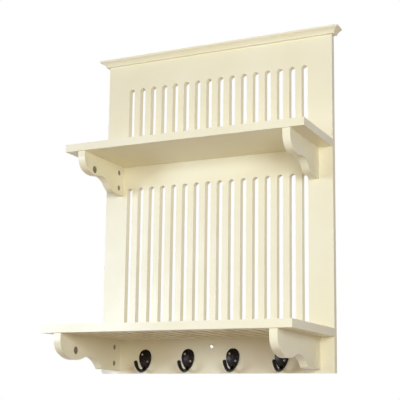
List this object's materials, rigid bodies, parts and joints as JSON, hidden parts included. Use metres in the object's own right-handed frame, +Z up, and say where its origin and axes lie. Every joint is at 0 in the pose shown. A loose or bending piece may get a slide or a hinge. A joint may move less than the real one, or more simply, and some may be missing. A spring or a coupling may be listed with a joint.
{
  "type": "wall plate rack",
  "caption": "Wall-hung plate rack with a slotted back panel, moulded cornice, two bracketed shelves, the lower one slotted, and coat hooks beneath.",
  "frame": {"origin": "centre of the wall fixing hole, on the wall plane, low in the middle of the back panel", "axes": "+Z up, +Y into the wall, so the rack faces -Y, and +X to the right of someone facing the rack"},
  "size_m": [0.64, 0.285, 0.802],
  "materials": {
    "cream_paint": "satin cream paint on fine fibreboard",
    "zinc_fittings": "dull zinc plate",
    "dark_bronze": "near-black oil-rubbed bronze lacquer",
    "antique_brass_screws": "antique brass, domed heads",
    "polished_cap": "polished, so that it mirrors the bright room"
  },
  "bodies": {
    "root": {"back_panel": "cream_paint", "cornice_front": "cream_paint", "cornice_left_return": "cream_paint", "cornice_right_return": "cream_paint", "upper_shelf": "cream_paint", "lower_shelf": "cream_paint", "upper_left_bracket": "cream_paint", "upper_right_bracket": "cream_paint", "lower_left_bracket": "cream_paint", "lower_right_bracket": "cream_paint", "bracket_cam_locks": "zinc_fittings", "bracket_cam_bolts": "zinc_fittings", "bracket_barrel_nuts": "zinc_fittings", "bracket_panel_bolts": "zinc_fittings", "upper_shelf_screws": "zinc_fittings", "lower_shelf_screws": "zinc_fittings", "coat_hook_1": "dark_bronze", "coat_hook_2": "dark_bronze", "coat_hook_3": "dark_bronze", "coat_hook_4": "dark_bronze", "hook_screws": "antique_brass_screws", "wall_fixing_cap": "polished_cap", "left_hanger_plate": "zinc_fittings", "right_hanger_plate": "zinc_fittings", "hanger_screws": "zinc_fittings"}
  },
  "joints": []
}
